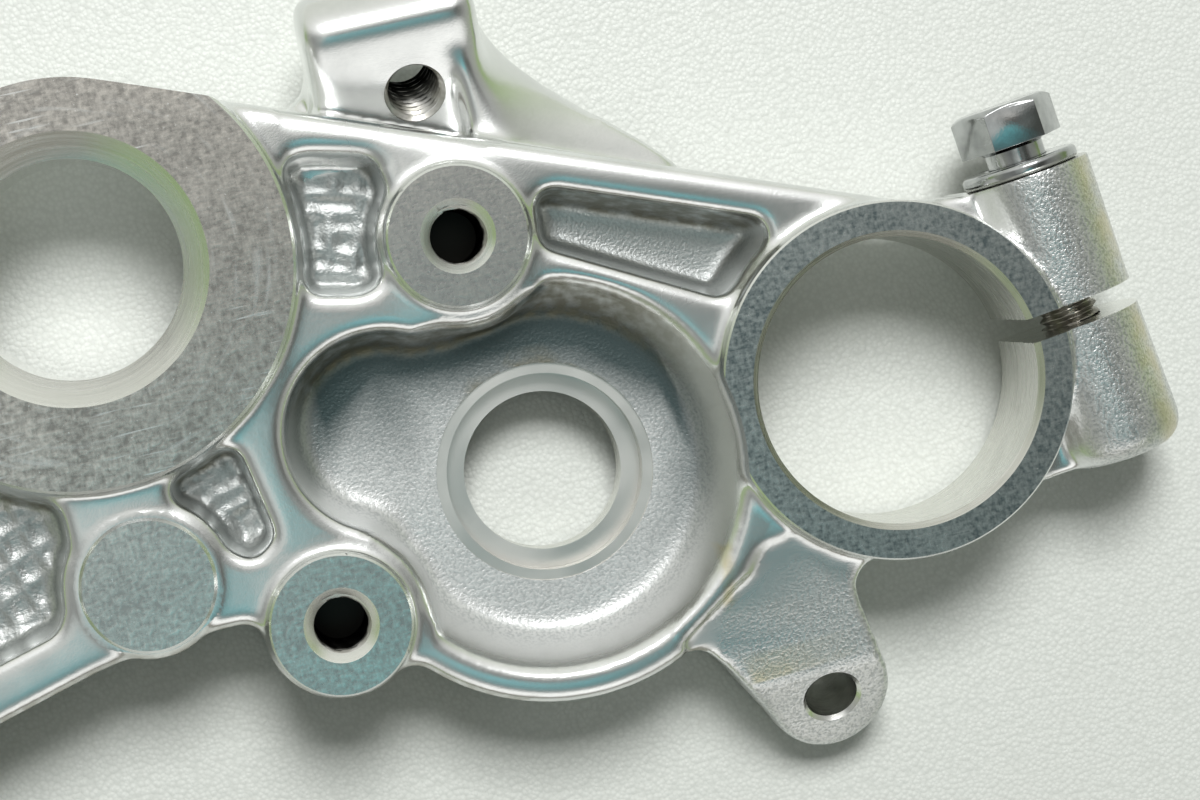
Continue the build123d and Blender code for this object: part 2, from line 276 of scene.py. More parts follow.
def castStock():
    bm = bmesh.new()
    bm.from_mesh(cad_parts["clamp_body"].data)
    bmesh.ops.remove_doubles(bm, verts=bm.verts, dist=2e-6)
    bm.normal_update()

    def flats(height, place=Matrix()):
        # faces that look along the frame's z at this height
        back, ahead = place.inverted(), place.col[2].xyz
        return [
            f for f in bm.faces
            if f.normal.dot(ahead) > 0.999 and abs((back @ f.calc_center_median()).z - height * mm) < 2e-5
        ]

    def pullOut(faces):
        grown = bmesh.ops.extrude_face_region(bm, geom=faces)
        return [g for g in grown["geom"] if isinstance(g, bmesh.types.BMVert)]

    def thicken(faces, step):
        bmesh.ops.translate(bm, verts=pullOut(faces), vec=step)
        bm.normal_update()

    for height, extra in casting["raised"]:
        thicken(flats(height), Vector((0, 0, extra * mm)))
    height, front, rise = casting["pad"]
    for vert in pullOut(flats(height)):
        vert.co.z += rise * max(0.01 * mm, vert.co.y - front * mm)
    bm.normal_update()
    for side in sides:
        ear = earFrame(side)
        headward = ear.col[2].xyz
        for level, extra in casting["earStock"]:
            thicken(flats(level, ear), headward * extra * mm)
        start, end = (
            Vector((side * x, y, height + rise * (y - front))) * mm for x, y in casting["crease"][:2]
        )
        run = (end - start).normalized()
        across = run.cross(Vector((0, 0, 1))).normalized()
        bridge = framed(start, run, across, run.cross(across))
        short, half, top, foot = casting["bridge"]
        addBox(bm, (short, -half, top), ((end - start).length / mm - short, half, foot), bridge)
    print("stock edges left open:", sum(not e.is_manifold for e in bm.edges))

    def plug(key, place):
        radius, low, high = casting["plugs"][key]
        addLathe(bm, ((0, low), (radius, low), (radius, high), (0, high)), place)

    plug("stem", Matrix())
    plug("keyhole", upright(*layout["keyhole"]))
    for x, y in layout["bosses"]:
        plug("boss", upright(x, y))
    for side in sides:
        plug("fork", forkFrame(side))
        plug("bolt", earFrame(side))
        for key in ("lugHole", "riserHole"):
            plug(key, leanFrame(side, key))
    bmesh.ops.recalc_face_normals(bm, faces=bm.faces)
    return linkMesh("castStock", bm)


# hatched ribs on the pocket floors, dropped onto the stock and melted in with it

hatching = {
    "highest": 11.5,
    "lowest": 1.0,
    "steepest": 0.72,  # upward part of a floor's normal
    "step": 0.45,  # along a rib
    "wander": (160.0, 1.6),  # how fine and how far the ribs stray
    "patches": 260.0,
    "ray": (30, 40),  # height it starts from, and its length
    "zones": ((33.7, -0.6, 10.5), (-33.7, -0.6, 10.5), (11.2, -33.0, 9.0), (-18, -36, 10), (-30, -36, 14),
              (-52, -38, 20)),  # x, y and reach
    "fields": (  # x, y, turn in degrees, lines, spacing, length, gaps, rib radius, sunk
        (33.9, -0.6, -18, 7, 2.45, 12.0, 0.36, 0.72, 0.15),
        (34.6, -0.6, 72, 2, 3.2, 17.0, 0.34, 0.72, 0.15),
        (-33.9, -0.6, 18, 7, 2.45, 12.0, 0.36, 0.72, 0.15),
        (-34.6, -0.6, 108, 2, 3.2, 17.0, 0.34, 0.72, 0.15),
        (11.0, -34.4, 15, 5, 2.3, 9.0, 0.38, 0.66, 0.15),
        (11.0, -34.4, 105, 3, 2.5, 13.0, 0.38, 0.66, 0.15),
        (-38.3, -39.9, 19, 12, 3.6, 84.0, 0.22, 0.5, 0.05),
        (-40.6, -40.7, 109, 23, 3.6, 44.0, 0.22, 0.5, 0.05),
    ),
}


def ribTree():
    tree, given, keys = growingTree("hatch ribs", {
        "Object": ("Casting",), "Vector": ("Centre", "Turn"), "Int": ("Lines",), "Material": ("Material",),
        "Float": ("Spacing", "Length", "Rib radius", "Sunk", "Highest", "Gaps", "Seed")})
    half = times(tree, given["Length"], 0.5)
    line = made(tree, "GeometryNodeCurvePrimitiveLine",
                {"Start": vector(tree, X=times(tree, half, -1.0)), "End": vector(tree, X=half)})
    across = times(tree, calc(tree, "SUBTRACT", given["Lines"], 1.0), given["Spacing"])
    rows = made(tree, "GeometryNodeMeshLine", {
        "Count": given["Lines"], "Start Location": vector(tree, Y=times(tree, across, -0.5)),
        "Offset": vector(tree, Y=given["Spacing"])})
    field = made(tree, "GeometryNodeInstanceOnPoints", {"Points": rows, "Instance": line})
    field = made(tree, "GeometryNodeRealizeInstances", {"Geometry": field})
    field = made(tree, "GeometryNodeTransform",
                 {"Geometry": field, "Translation": given["Centre"], "Rotation": given["Turn"]})
    field = made(tree, "GeometryNodeResampleCurve",
                 {"Curve": field, "Length": hatching["step"] * mm}, mode="LENGTH")
    field = made(tree, "GeometryNodeCurveToMesh", {"Curve": field})
    spot = made(tree, "GeometryNodeInputPosition")

    def vectors(operation, first, second):
        return made(tree, "ShaderNodeVectorMath", {0: first, 1: second}, operation=operation)

    def seededNoise(scale):
        return addNode(tree, "ShaderNodeTexNoise", {
            "Vector": spot, "W": given["Seed"], "Scale": scale, "Detail": 1.0}, noise_dimensions="4D").outputs

    fine, far = hatching["wander"]
    shift = vectors("SUBTRACT", seededNoise(fine)[1], (0.5, 0.5, 0.5))
    shift = vectors("MULTIPLY", shift, (far * mm, far * mm, 0))
    field = made(tree, "GeometryNodeSetPosition", {"Geometry": field, "Offset": shift})
    target = addNode(tree, "GeometryNodeObjectInfo", {"Object": given["Casting"]}).outputs["Geometry"]
    high, long = hatching["ray"]
    ray = addNode(tree, "GeometryNodeRaycast", {
        "Target Geometry": target, "Source Position": vectors("ADD", spot, (0, 0, high * mm)),
        "Ray Direction": (0, 0, -1), "Ray Length": long * mm}).outputs
    hitZ, slope = (split(tree, ray[key])[2] for key in ("Hit Position", "Hit Normal"))
    keep = times(tree, ray["Is Hit"], calc(tree, "LESS_THAN", hitZ, given["Highest"]))
    limits = ((slope, hatching["steepest"]), (hitZ, hatching["lowest"] * mm),
              (seededNoise(hatching["patches"])[0], given["Gaps"]))
    for value, least in limits:
        keep = times(tree, keep, calc(tree, "GREATER_THAN", value, least))
    field = made(tree, "GeometryNodeDeleteGeometry",
                 {"Geometry": field, "Selection": calc(tree, "SUBTRACT", 1.0, keep)})
    onFloor = vectors("ADD", ray["Hit Position"], vector(tree, Z=times(tree, given["Sunk"], -1.0)))
    field = made(tree, "GeometryNodeSetPosition", {"Geometry": field, "Position": onFloor})
    field = made(tree, "GeometryNodeMeshToCurve", {"Mesh": field})
    section = made(tree, "GeometryNodeCurvePrimitiveCircle", {"Resolution": 10, "Radius": given["Rib radius"]})
    field = made(tree, "GeometryNodeCurveToMesh",
                 {"Curve": field, "Profile Curve": section, "Fill Caps": True})
    closeTree(tree, field, given["Material"])
    return tree, keys


def joinPieces(name, pieces):
    bm = bmesh.new()
    for piece in pieces:
        bm.from_mesh(piece.data)
    whole = linkMesh(name, bm)
    for piece in pieces:
        dropPiece(piece)
    return whole


def hatchFloors(stock):
    tree, keys = ribTree()
    fields = []
    for k, (x, y, turn, lines, spacing, length, gaps, rib, sunk) in enumerate(hatching["fields"]):
        fields.append(growPiece("ribs", tree, keys, {
            "Casting": stock, "Centre": (x * mm, y * mm, 0.0), "Turn": (0.0, 0.0, radians(turn)),
            "Lines": lines, "Spacing": spacing * mm, "Length": length * mm, "Gaps": gaps,
            "Rib radius": rib * mm, "Sunk": sunk * mm, "Highest": hatching["highest"] * mm, "Seed": 3.0 + k}))
    return joinPieces("floorRibs", fields)


def meltCasting(stock, ribs):
    body = joinPieces("clampCasting", (stock, ribs))
    melt = body.modifiers.new("voxels", "REMESH")
    melt.mode = "VOXEL"
    melt.voxel_size = casting["voxel"] * mm
    bakeModifiers(body)
    spots = np.empty(len(body.data.vertices) * 3)
    body.data.vertices.foreach_get("co", spots)
    x, y, z = (spots.reshape(-1, 3) / mm).T
    hatched = np.zeros(len(x), bool)
    for spotX, spotY, reach in hatching["zones"]:
        hatched |= np.hypot(x - spotX, y - spotY) < reach
    hatched &= (z < hatching["highest"]) & (z > hatching["lowest"])
    (startX, startY), (endX, endY), reach = casting["crease"]
    runX, runY = endX - startX, endY - startY
    along = ((np.abs(x) - startX) * runX + (y - startY) * runY) / (runX ** 2 + runY ** 2)
    across = ((np.abs(x) - startX) * runY - (y - startY) * runX) / np.hypot(runX, runY)
    creased = (np.abs(across) < reach) & (along > 0) & (along < 1)
    near, far, low, high = casting["panWall"]
    reach = np.hypot(x - layout["keyhole"][0], y - layout["keyhole"][1])
    walled = (reach > near) & (reach < far) & (z > low) & (z < high) & ~creased
    front, inner, outer = casting["riserZone"]
    rising = (y > front) & (np.abs(x) > inner) & (np.abs(x) < outer)
    zones = {"open": ~(hatched | creased), "pan": walled, "risers": rising}
    for name, steps in casting["meltSteps"].items():
        soft = body.modifiers.new(name, "SMOOTH")
        soft.factor = casting["meltFactor"]
        soft.iterations = steps
        if name in zones:
            group = body.vertex_groups.new(name=name)
            group.add(np.flatnonzero(zones[name]).tolist(), 1.0, "REPLACE")
            soft.vertex_group = name
    bakeModifiers(body)
    body.vertex_groups.clear()
    print("casting voxels:", len(body.data.polygons), "faces")
    lean = body.modifiers.new("fewer faces", "DECIMATE")
    lean.ratio = casting["faces"] / (2 * len(body.data.polygons))
    return bakeModifiers(body)


stock = castStock()
body = meltCasting(stock, hatchFloors(stock))
print("casting melted:", len(body.data.polygons), "faces")


# lumps and hollows left by the mould in the pocket floors

lumps = {
    "spots": ((33.7, -0.6, 9.0), (-33.7, -0.6, 9.0), (11.2, -33.0, 8.0)),  # x, y and reach
    "below": 12.0,
    "above": 0.5,
    "fade": (3, 2),  # sideways and upward
    "height": 0.4,
    "size": 3.4,
}


def raiseLumps(body):
    sideways, upward = lumps["fade"]
    for vert in body.data.vertices:
        x, y, z = vert.co / mm
        if z < lumps["above"] or z > lumps["below"]:
            continue
        for spotX, spotY, reach in lumps["spots"]:
            away = ((x - spotX) ** 2 + (y - spotY) ** 2) ** 0.5
            if away < reach:
                fade = min(1, (reach - away) / sideways, (lumps["below"] - z) / upward)
                vert.co.z += fade * lumps["height"] * mm * noise.noise(Vector((x, y, z)) / lumps["size"])


raiseLumps(body)


# threads, one tree for bolts and for the taps that cut the holes

thread = {
    "pitch": 1.25,
    "rowsPerTurn": 10.0,
    "segments": 40,
}


def threadTree():
    tree, given, keys = growingTree("thread", {
        "Int": ("Segments",), "Material": ("Material",),
        "Float": ("Root radius", "Depth", "Pitch", "Length", "Rows per turn", "Run out")})
    axis = made(tree, "GeometryNodeCurvePrimitiveLine", {"End": vector(tree, Z=given["Length"])})
    rows = times(tree, calc(tree, "DIVIDE", given["Length"], given["Pitch"]), given["Rows per turn"])
    steps = made(tree, "GeometryNodeResampleCurve", {"Curve": axis, "Count": rows})
    ring = made(tree, "GeometryNodeCurvePrimitiveCircle",
                {"Resolution": given["Segments"], "Radius": given["Root radius"]})
    tube = made(tree, "GeometryNodeCurveToMesh", {"Curve": steps, "Profile Curve": ring, "Fill Caps": True})
    x, y, z = split(tree, made(tree, "GeometryNodeInputPosition"))
    turn = calc(tree, "DIVIDE", calc(tree, "ARCTAN2", y, x), 2 * pi)
    phase = calc(tree, "SUBTRACT", calc(tree, "DIVIDE", z, given["Pitch"]), turn)
    flank = times(tree, calc(tree, "PINGPONG", phase, 0.5), 2.0)
    flank = calc(tree, "MULTIPLY_ADD", flank, 1.3, -0.15, clamp=True)  # small flats on crest and root
    left = calc(tree, "SUBTRACT", given["Length"], z)
    nearEnd = calc(tree, "DIVIDE", calc(tree, "MINIMUM", z, left), given["Run out"], clamp=True)
    lift = times(tree, times(tree, flank, nearEnd), given["Depth"])
    scale = calc(tree, "ADD", calc(tree, "DIVIDE", lift, given["Root radius"]), 1.0)
    moved = vector(tree, X=times(tree, x, scale), Y=times(tree, y, scale), Z=z)
    shaped = made(tree, "GeometryNodeSetPosition", {"Geometry": tube, "Position": moved})
    closeTree(tree, shaped, given["Material"])
    return tree, keys


threadNodes, threadKeys = threadTree()


def threadedRod(name, root, crest, low, high, place, runOut=0.6):
    rod = growPiece(name, threadNodes, threadKeys, {
        "Root radius": root * mm, "Depth": (crest - root) * mm, "Length": (high - low) * mm,
        "Pitch": thread["pitch"] * mm, "Rows per turn": thread["rowsPerTurn"], "Segments": thread["segments"],
        "Run out": runOut * mm})
    rod.data.transform(place @ Matrix.Translation((0, 0, low * mm)))
    return rod


# machining: faces, bores, seats and the slits, cut crisp through the skin

machining = {
    "clear": 24.0,  # height above everything
    "below": -12.0,
    "stemFace": (27.25, 16.5, 31.0),  # radius of the flat, height, reach of the cutter
    "ringFace": (22.9, 17.0, 25.6),
    "bossFace": (8.75, 16.5, 10.6),
    "blankFace": (8.1, 15.5, 9.6),
    "edgeBreak": 0.4,
    "stemBore": (13.7, 13.4, 16.95, 16.5),
    "forkBore": (18.5, 0.75, 17.0),
    "switchSteps": ((10.35, 4.4), (12.8, 7.15), (14.15, 9.6)),
    "slit": (-1.6, 1.6, -19.0, 22.0),
    "washerSeat": (-8.8, 24.0),
    "past": 30.0,  # how far the cutters run past the ear
    "boltHole": (4.45, 4.05, -17.5),
    "tap": (3.4, 4.0),
    "bossTap": (3.5, 16.5, 1.35),  # floor, face and mouth bevel
    "riserTap": (-14.0, 1.6),
    "riserMouth": (0.5, 6.0),  # bevel and height
    "lugHole": (3.5, 0.5, -16.0, 4.0),
    "sharpAngle": 32,
}


def machiningTools():
    top, under = machining["clear"], machining["below"]
    minor, major = machining["tap"]
    tools = []

    def turned(name, profile, place, segments=96):
        tools.append(shapeFrom(name, addLathe, profile, place, segments))

    def facing(name, key, x, y):
        radius, height, reach = machining[key]
        edge = machining["edgeBreak"]
        turned(name, ((0, height), (radius, height), (radius + edge, height - edge), (reach, height - edge),
                      (reach, top), (0, top)), upright(x, y))

    facing("stem facing", "stemFace", 0, 0)
    facing("blank boss facing", "blankFace", *layout["blankBoss"])
    deep, face, bevel = machining["bossTap"]
    for x, y in layout["bosses"]:
        facing("boss facing", "bossFace", x, y)
        turned("tap mouth", ((0, face - bevel), (minor, face - bevel), (minor + bevel, face),
                             (minor + bevel, top), (0, top)), upright(x, y))
        tools.append(threadedRod("boss tap", minor, major, deep, face + 0.5, upright(x, y)))
    for side in sides:
        facing("ring facing", "ringFace", side * layout["forkX"], layout["forkY"])

    radius, wallTop, mouth, face = machining["stemBore"]
    turned("stem bore", ((0, under), (radius, under), (radius, wallTop), (mouth, face), (mouth, top),
                         (0, top)), Matrix(), 128)
    radius, bevel, height = machining["forkBore"]
    wide = radius + bevel
    for side in sides:
        turned("fork bore", ((0, under), (wide, under), (wide, 0), (radius, bevel), (radius, height - bevel),
                             (wide, height), (wide, top), (0, top)), forkFrame(side), 160)
    steps = [(0, under)]
    level = under
    for radius, upper in machining["switchSteps"]:
        steps += [(radius, level), (radius, upper)]
        level = upper
    turned("switch seat", steps + [(0, level)], upright(*layout["keyhole"]), 96)

    low, high, inner, outer = machining["slit"]
    seat, seatIn, seatOut = layout["seat"], *machining["washerSeat"]
    far = machining["past"]
    clear, tapped, deep = machining["boltHole"]
    for side in sides:
        ear = earFrame(side)
        tools.append(shapeFrom("slit", addBox, (inner, -far, low), (outer, far, high), ear))
        tools.append(shapeFrom("washer seat", addBox, (seatIn, -far, seat), (seatOut, far, far), ear))
        turned("bolt clearance", ((0, 0), (clear, 0), (clear, far), (0, far)), ear)
        turned("bolt thread hole", ((0, deep), (tapped, deep), (tapped, 0.5), (0, 0.5)), ear)
        riser = leanFrame(side, "riserHole")
        tools.append(threadedRod("riser tap", minor, major, *machining["riserTap"], riser))
        bevel, end = machining["riserMouth"]
        turned("riser mouth", ((0, -bevel), (major - bevel, -bevel), (major, 0), (major, end), (0, end)), riser)
        radius, bevel, end, upper = machining["lugHole"]
        wide = radius + 2 * bevel
        turned("lug hole", ((0, end), (radius, end), (radius, -bevel), (wide, bevel), (wide, upper),
                            (0, upper)), leanFrame(side, "lugHole"), 48)
    return tools


combine(body, machiningTools())
print("machined:", len(body.data.polygons), "faces")
smooth(body.data, machining["sharpAngle"])


# finishes

def newFinish(name, colour, roughness, metallic=1.0):
    finish = bpy.data.materials.new(name)
    finish.use_nodes = True
    shader = finish.node_tree.nodes["Principled BSDF"]
    shader.inputs["Base Color"].default_value = (*colour, 1)
    shader.inputs["Roughness"].default_value = roughness
    shader.inputs["Metallic"].default_value = metallic
    spot = addNode(finish.node_tree, "ShaderNodeTexCoord").outputs["Object"]
    return finish, finish.node_tree, shader, spot


def speckle(tree, spot, scale, detail=3.0, stretch=None, turn=0.0):
    if stretch or turn:
        spot = made(tree, "ShaderNodeMapping",
                    {"Vector": spot, "Rotation": (0, 0, turn), "Scale": stretch or (1, 1, 1)})
    return made(tree, "ShaderNodeTexNoise", {"Vector": spot, "Scale": scale, "Detail": detail})


def spread(tree, value, low, high, toLow=0.0, toHigh=1.0):
    return made(tree, "ShaderNodeMapRange", {
        "Value": value, "From Min": low, "From Max": high, "To Min": toLow, "To Max": toHigh})


def blendColour(tree, amount, first, second):
    node = addNode(tree, "ShaderNodeMix", {0: amount}, data_type="RGBA")
    for socket, value in ((node.inputs[6], first), (node.inputs[7], second)):
        if isinstance(value, bpy.types.NodeSocket):
            tree.links.new(value, socket)
        else:
            socket.default_value = (*value, 1)
    return node.outputs[2]


def attribute(tree, name):
    return addNode(tree, "ShaderNodeAttribute", attribute_name=name).outputs["Fac"]


def wire(tree, shader, **sources):
    for name, source in sources.items():
        tree.links.new(source, shader.inputs[name])


def bumped(tree, height, depth, strength):
    return made(tree, "ShaderNodeBump", {"Height": height, "Distance": depth * mm, "Strength": strength})


def settle(tree, shader, colour, rough, height, bump):
    wire(tree, shader, **{"Base Color": colour, "Roughness": rough, "Normal": bumped(tree, height, *bump)})


skin = {
    "grainSize": 2500,
    "fineSize": 5200,
    "cloudSize": 90,
    "bright": (0.84, 0.85, 0.84),
    "dull": (0.72, 0.73, 0.72),
    "recess": ((0.52, 0.54, 0.53), 0.85),  # colour and share of the painted shade in the pockets
    "speck": ((0.34, 0.37, 0.37), 0.65),
    "shade": (0.05, 0.08, 0.082),
    "stain": ((0.70, 0.63, 0.40), 240),  # colour and size of its patches
    # dirt patches that also paint shade on walls facing away from the lamp: colour and patch size
    "dirt": ((0.20, 0.18, 0.11), 500),
    "roughness": (0.18, 0.22),  # bright skin, and what satin adds
    "scatter": 0.35,  # share of scattered light where the skin is pale
    "bump": (0.15, 0.8),
}


def castSkin():
    finish, tree, shader, spot = newFinish("castSkin", skin["bright"], skin["roughness"][0])
    grain = attribute(tree, "grain")
    coarse = speckle(tree, spot, skin["grainSize"], 2.0)
    fine = speckle(tree, spot, skin["fineSize"], 1.0)
    cloud = speckle(tree, spot, skin["cloudSize"], 4.0)
    colour = blendColour(tree, spread(tree, cloud, 0.35, 0.7), skin["bright"], skin["dull"])
    # painted shade: pocket floors and walls darker, only faintly in the pan
    tone, share = skin["recess"]
    colour = blendColour(tree, times(tree, attribute(tree, "recess"), share), colour, tone)
    tone, share = skin["speck"]
    specks = times(tree, spread(tree, coarse, 0.56, 0.36), times(tree, grain, share))
    colour = blendColour(tree, specks, colour, tone)
    # painted shade on the pan floor by its rear and right walls
    colour = blendColour(tree, attribute(tree, "shade"), colour, skin["shade"])
    # real stains, and dirt patches that also paint shade on the pockets' rear walls
    for name, low in (("stain", 0.25), ("dirt", 0.3)):
        tone, size = skin[name]
        patches = spread(tree, speckle(tree, spot, size), low, 0.6)
        colour = blendColour(tree, times(tree, attribute(tree, name), patches), colour, tone)
    least, added = skin["roughness"]
    rough = calc(tree, "MULTIPLY_ADD", attribute(tree, "satin"), added, least)
    rough = calc(tree, "ADD", rough, spread(tree, cloud, 0.3, 0.7, -0.03, 0.07))
    wire(tree, shader, Metallic=calc(tree, "MULTIPLY_ADD", attribute(tree, "pale"), -skin["scatter"], 1.0))
    height = calc(tree, "ADD", times(tree, coarse, grain), times(tree, fine, 0.06))
    settle(tree, shader, colour, rough, height, skin["bump"])
    return finish


faced = {
    "cloudSize": 130,
    "weaveSize": 2300,
    "weaveTurn": 0.25,
    "flecks": (2600, 0.72, 0.80),  # size, and where they start and are full
    "arcs": (900, 2.2),  # how fine across and along the turning marks
    "scratches": ((0.9, 0.05), (2.3, 0.04), (1.5, 0.06)),  # turn and how drawn out
    "scratchSize": 2200,
    "mark": (0.88, 0.88, 0.87),
    "bump": (0.05, 0.6),
}


def facedAlloy(name, pale, dark, roughness, arcs, scratched, mottleSize):
    finish, tree, shader, spot = newFinish(name, pale, roughness)
    mottle = calc(tree, "ADD", times(tree, speckle(tree, spot, mottleSize, 4.0), 0.7),
                  times(tree, speckle(tree, spot, faced["cloudSize"], 3.0), 0.3))
    weave = calc(tree, "ADD", *(speckle(tree, spot, faced["weaveSize"], 3.0, stretch, faced["weaveTurn"])
                                for stretch in ((0.3, 1, 1), (1, 0.3, 1))))
    mottle = calc(tree, "ADD", times(tree, mottle, 0.6), times(tree, weave, 0.2))
    colour = blendColour(tree, spread(tree, mottle, 0.40, 0.62), dark, pale)
    size, low, high = faced["flecks"]
    marks = spread(tree, speckle(tree, spot, size, 1.0), low, high)
    if arcs:
        x, y, z = split(tree, spot)
        radius = calc(tree, "SQRT", calc(tree, "ADD", times(tree, x, x), times(tree, y, y)))
        across, along = faced["arcs"]
        polar = vector(tree, X=times(tree, radius, across), Y=times(tree, calc(tree, "ARCTAN2", y, x), along))
        rings = speckle(tree, polar, 1.0, 2.0)
        marks = calc(tree, "MAXIMUM", marks, times(tree, spread(tree, rings, 0.58, 0.76), arcs))
    where = spread(tree, speckle(tree, spot, 90, 1.0), 0.52, 0.62)
    for turn, drawn in faced["scratches"]:
        line = spread(tree, speckle(tree, spot, faced["scratchSize"], 1.0, (drawn, 1, 1), turn), 0.68, 0.75)
        line = times(tree, times(tree, line, where), scratched)
        marks = calc(tree, "MAXIMUM", marks, line)
    colour = blendColour(tree, marks, colour, faced["mark"])
    rough = spread(tree, mottle, 0.35, 0.65, roughness + 0.06, roughness - 0.05)
    settle(tree, shader, colour, rough, mottle, faced["bump"])
    return finish


def turnedBore(name, pale, dark, roughness):
    finish, tree, shader, spot = newFinish(name, pale, roughness)
    lines = speckle(tree, spot, 3000, 2.0, (0.03, 0.03, 1))
    cloud = speckle(tree, spot, 160, 3.0)
    colour = blendColour(tree, spread(tree, lines, 0.35, 0.65), dark, pale)
    colour = blendColour(tree, spread(tree, cloud, 0.60, 0.8, 0, 0.4), colour, [0.7 * part for part in dark])
    rough = spread(tree, lines, 0.3, 0.7, roughness - 0.05, roughness + 0.07)
    settle(tree, shader, colour, rough, lines, (0.02, 0.4))
    return finish


def tappedHole():
    finish, tree, shader, spot = newFinish("tappedHole", (0.5, 0.49, 0.46), 0.35)
    grime = spread(tree, speckle(tree, spot, 380, 3.0), 0.40, 0.62)
    colour = blendColour(tree, grime, (0.66, 0.65, 0.62), (0.36, 0.35, 0.31))
    # painted shade: the thread holes go nearly black with depth
    colour = blendColour(tree, attribute(tree, "depth"), colour, (0.02, 0.02, 0.018))
    wire(tree, shader, **{"Base Color": colour})
    return finish


def zincPlate(name, pale, dark, roughness):
    finish, tree, shader, spot = newFinish(name, pale, roughness)
    cloud = speckle(tree, spot, 420, 3.0)
    colour = blendColour(tree, spread(tree, cloud, 0.40, 0.72), pale, dark)
    rough = spread(tree, cloud, 0.3, 0.7, roughness - 0.03, roughness + 0.08)
    settle(tree, shader, colour, rough, speckle(tree, spot, 3200, 2.0), (0.02, 0.4))
    return finish


castFinishes = (
    castSkin(),
    facedAlloy("stemFace", (0.78, 0.74, 0.69), (0.34, 0.32, 0.30), 0.25, 0.5, 0.8, 1300),
    facedAlloy("ringFace", (0.80, 0.83, 0.82), (0.19, 0.23, 0.24), 0.30, 0.0, 0.35, 1800),
    facedAlloy("bossFace", (0.80, 0.78, 0.74), (0.46, 0.45, 0.44), 0.25, 0.0, 0.2, 1600),
    turnedBore("turnedBore", (0.72, 0.72, 0.68), (0.60, 0.60, 0.56), 0.25),
    tappedHole(),
    turnedBore("stemLeadIn", (0.90, 0.90, 0.87), (0.82, 0.82, 0.79), 0.22),
    turnedBore("honedWall", (0.95, 0.95, 0.93), (0.91, 0.91, 0.89), 0.10),
    turnedBore("switchSeat", (0.80, 0.79, 0.76), (0.70, 0.69, 0.66), 0.42),
)
cast, stem, ring, boss, bore, tap, lead, honed, seat = range(len(castFinishes))
boltFinish = zincPlate("zincPlate", (0.50, 0.51, 0.51), (0.34, 0.35, 0.35), 0.10)
oiledFinish = zincPlate("oiledThread", (0.46, 0.44, 0.40), (0.12, 0.11, 0.09), 0.30)


# which finish each face of the casting gets

reaches = {  # how far a finish goes from the middle of its feature
    "stemFace": 28.0,
    "leadIn": 17.2,
    "honed": 14.0,
    "blankFace": 8.6,
    "bossFace": 9.2,
    "bossHole": (4.9, 4.2, 3.2, 15.1),  # mouth and thread, then lowest and highest height
    "switchSeat": (14.3, 0.02, 7.33),
    "ringFace": 23.2,
    "forkBore": 19.4,
    "ear": -12.0,  # outward from the bolt
    "slitWall": 1.65,
    "boltHole": (4.6, -17.6),
    "riserHole": 4.15,
    "lugHole": 4.6,
    "leanHole": (-15, 1.2),  # along both leaning holes
}


def inFrame(place, points):
    back = np.array(place.inverted())
    return points @ back[:3, :3].T + back[:3, 3] / mm


def pickFinishes(mesh):
    count = len(mesh.polygons)
    centre, normal = np.empty(count * 3), np.empty(count * 3)
    mesh.polygons.foreach_get("center", centre)
    mesh.polygons.foreach_get("normal", normal)
    centre, normal = centre.reshape(-1, 3) / mm, normal.reshape(-1, 3)
    height, steep = centre[:, 2], np.abs(normal[:, 2])
    level = normal[:, 2] > 0.995

    def away(x, y):
        return np.hypot(centre[:, 0] - x, centre[:, 1] - y)

    def onFace(key):
        return level & (np.abs(height - machining[key][1]) < 0.03)

    pick = np.full(count, cast)
    pick[onFace("stemFace") & (away(0, 0) < reaches["stemFace"])] = stem
    pick[~level & (away(0, 0) < reaches["leadIn"])] = lead
    pick[(steep < 0.3) & (away(0, 0) < reaches["honed"])] = honed
    pick[onFace("blankFace") & (away(*layout["blankBoss"]) < reaches["blankFace"])] = boss
    mouth, hole, low, high = reaches["bossHole"]
    for x, y in layout["bosses"]:
        pick[onFace("bossFace") & (away(x, y) < reaches["bossFace"])] = boss
        pick[~level & (away(x, y) < mouth) & (height > low)] = lead
        pick[(away(x, y) < hole) & (height > low) & (height < high)] = tap
    reach, low, high = reaches["switchSeat"]
    seated = (away(*layout["keyhole"]) < reach) & (height < high) & (height > low)
    pick[seated] = bore
    pick[seated & level] = seat
    for side in sides:
        fork = away(side * layout["forkX"], layout["forkY"])
        pick[onFace("ringFace") & (fork < reaches["ringFace"])] = ring
        pick[(steep < 0.99) & (fork < reaches["forkBore"])] = bore
        ear = earFrame(side)
        outward, rise, along = inFrame(ear, centre).T
        across = normal @ np.array(ear.col[2].xyz)
        onEar = outward > reaches["ear"]
        pick[(np.abs(along) < reaches["slitWall"]) & (np.abs(across) > 0.99) & onEar] = lead
        pick[(np.abs(along - layout["seat"]) < 0.05) & (across > 0.99) & onEar] = bore
        reach, low = reaches["boltHole"]
        inHole = (np.hypot(outward, rise) < reach) & (along < layout["seat"] - 0.1) & (along > low)
        pick[inHole & (np.abs(across) < 0.5)] = tap
        low, high = reaches["leanHole"]
        for key, finish in (("riserHole", tap), ("lugHole", lead)):
            place = leanFrame(side, key)
            x, y, along = inFrame(place, centre).T
            tilt = np.abs(normal @ np.array(place.col[2].xyz))
            inHole = (np.hypot(x, y) < reaches[key]) & (along > low) & (along < high)
            pick[inHole & (tilt < 0.85)] = finish
    paint(mesh, castFinishes)
    mesh.polygons.foreach_set("material_index", pick.astype(np.int32))
